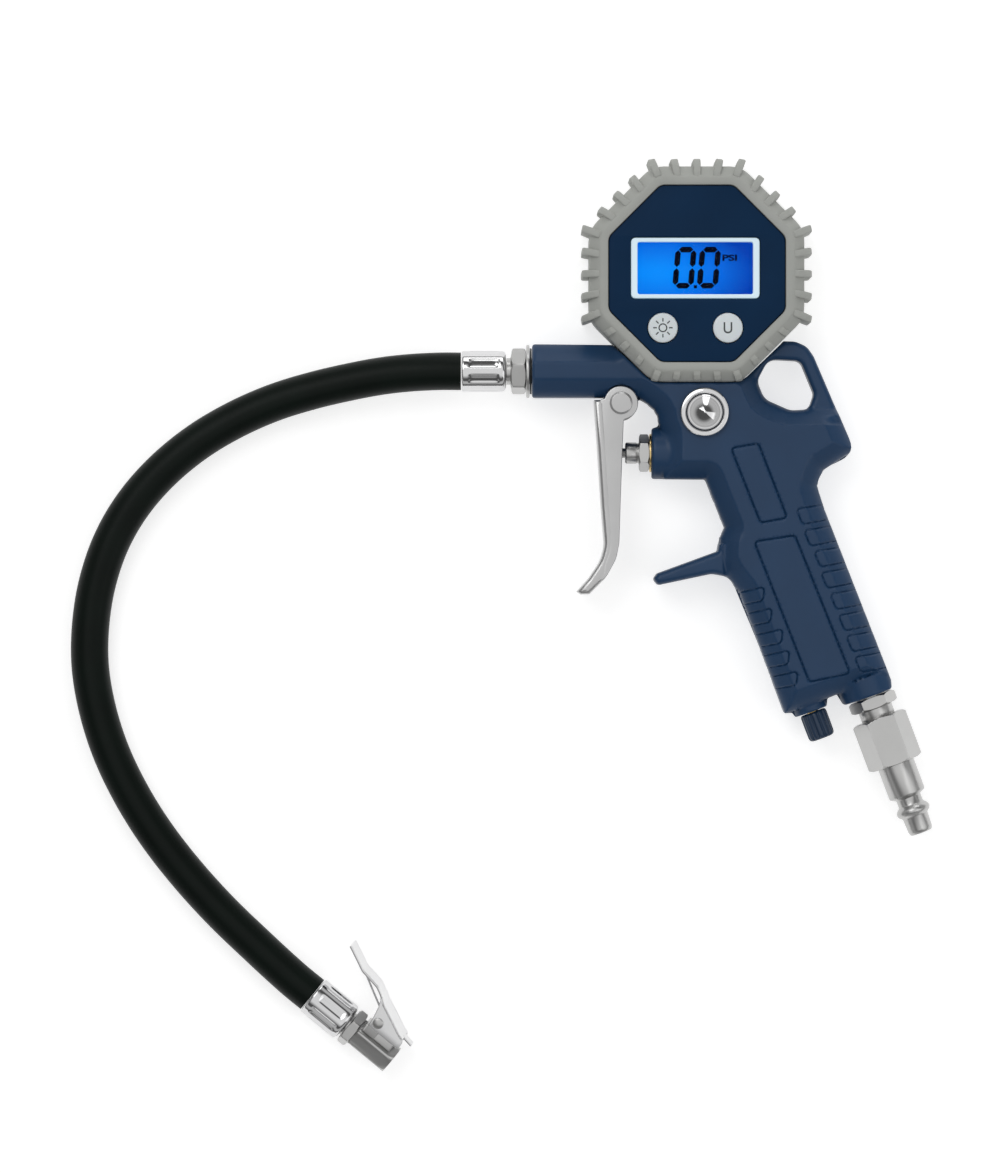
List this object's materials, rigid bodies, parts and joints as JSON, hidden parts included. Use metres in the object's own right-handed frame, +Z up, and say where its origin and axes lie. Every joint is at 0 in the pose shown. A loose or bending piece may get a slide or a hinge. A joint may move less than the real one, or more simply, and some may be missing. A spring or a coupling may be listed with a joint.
{
  "type": "tyre inflator with gauge",
  "caption": "Pistol-grip tyre inflator with a digital gauge in a rubber boot, a trigger valve, a bleed button, an air plug under the grip and a short hose with a clip-on chuck.",
  "frame": {"origin": "under the middle of the inflator's own pieces (hose and chuck left out), on the plane that its far side lies on", "axes": "+Z up through the thickness, out of the display's face; +Y towards the gauge head; -X along the barrel towards the hose"},
  "size_m": [0.3017, 0.319, 0.03],
  "materials": {
    "navy_paint": "satin powder coat over the casting",
    "navy_plastic": "satin moulded",
    "grey_rubber": "matte",
    "black_rubber": "satin",
    "cast_silver": "satin nickel over the casting",
    "chrome_plate": "polished",
    "nickel_plate": "bright nickel",
    "spring_steel": "bright",
    "turned_brass": "turned",
    "white_plastic": "gloss",
    "dark_plastic": "matte moulded",
    "display": "lit display behind glass",
    "clear_plastic": "clear",
    "board": "solder resist"
  },
  "bodies": {
    "inflator": {"body_casting": "navy_paint", "trigger_pin": "spring_steel", "trigger_pin_clip": "spring_steel", "valve_bonnet": "nickel_plate", "valve_washer": "turned_brass", "valve_spring": "spring_steel", "pushrod_o_ring": "black_rubber", "bleed_bezel": "chrome_plate", "bleed_spring": "spring_steel", "inlet_bushing": "nickel_plate", "inlet_screen": "turned_brass", "air_plug": "nickel_plate", "gauge_boot": "grey_rubber", "gauge_case": "dark_plastic", "face_plate": "navy_plastic", "circuit_board": "board", "lcd_frame": "white_plastic", "lcd_panel": "display", "lcd_window": "clear_plastic", "battery_1": "spring_steel", "battery_2": "spring_steel", "battery_contact_1": "nickel_plate", "battery_contact_2": "nickel_plate", "battery_door": "dark_plastic", "door_screw_1": "spring_steel", "door_screw_2": "spring_steel", "gauge_stem": "turned_brass", "stem_o_ring": "black_rubber", "pressure_sensor": "spring_steel", "barrel_seal": "black_rubber", "hose_washer": "nickel_plate", "hose_fitting": "nickel_plate", "ferrule_gun": "chrome_plate", "hose": "black_rubber", "ferrule_chuck": "chrome_plate", "chuck_tail": "nickel_plate", "chuck_body": "nickel_plate", "chuck_depressor": "turned_brass", "chuck_grommet": "black_rubber", "chuck_lever_pin": "nickel_plate"},
    "trigger_lever": {"trigger": "cast_silver"},
    "push_valve": {"valve_pushrod": "spring_steel", "valve_poppet": "black_rubber"},
    "bleed_plunger": {"bleed_button": "chrome_plate", "bleed_seal": "black_rubber"},
    "flow_control": {"flow_knob": "navy_plastic", "flow_spindle": "turned_brass", "flow_o_ring": "black_rubber"},
    "backlight_key": {"backlight_button": "white_plastic"},
    "unit_key": {"unit_button": "white_plastic"},
    "chuck_clip": {"chuck_lever": "chrome_plate", "chuck_spring": "spring_steel"}
  },
  "joints": [
    {"name": "trigger_swing", "type": "hinge", "parent": "inflator", "child": "trigger_lever", "pos_m": [-0.02668, 0.03323, 0.012], "axis": [0, 0, 1], "range_deg": [0, 12], "stiffness_Nm_per_rad": 0.8, "springref_deg": -8.59},
    {"name": "push_valve_slide", "type": "slide", "parent": "inflator", "child": "push_valve", "axis": [1, 0, 0], "range_m": [0, 0.0039], "deforming": ["valve_spring"]},
    {"name": "bleed_press", "type": "slide", "parent": "inflator", "child": "bleed_plunger", "axis": [0, 0, -1], "range_m": [0, 0.0015], "stiffness_N_per_m": 900, "springref_m": -0.001, "deforming": ["bleed_spring"]},
    {"name": "flow_turn", "type": "hinge", "parent": "inflator", "child": "flow_control", "pos_m": [0.04124, -0.07649, 0.012], "axis": [0.3502, -0.9367, 0], "range_deg": [0, 270]},
    {"name": "backlight_press", "type": "slide", "parent": "inflator", "child": "backlight_key", "axis": [0, 0, -1], "range_m": [0, 0.0006], "stiffness_N_per_m": 1500, "springref_m": -0.0004},
    {"name": "unit_press", "type": "slide", "parent": "inflator", "child": "unit_key", "axis": [0, 0, -1], "range_m": [0, 0.0006], "stiffness_N_per_m": 1500, "springref_m": -0.0004},
    {"name": "chuck_lever_swing", "type": "hinge", "parent": "inflator", "child": "chuck_clip", "pos_m": [-0.11066, -0.18247, 0.00898], "axis": [-0.1214, -0.1472, 0.9816], "range_deg": [0, 22], "stiffness_Nm_per_rad": 0.15, "springref_deg": -17.19}
  ],
  "couplings": [
    {"joint": "push_valve_slide", "follows": "trigger_swing", "m_per_rad": 0.0182}
  ]
}
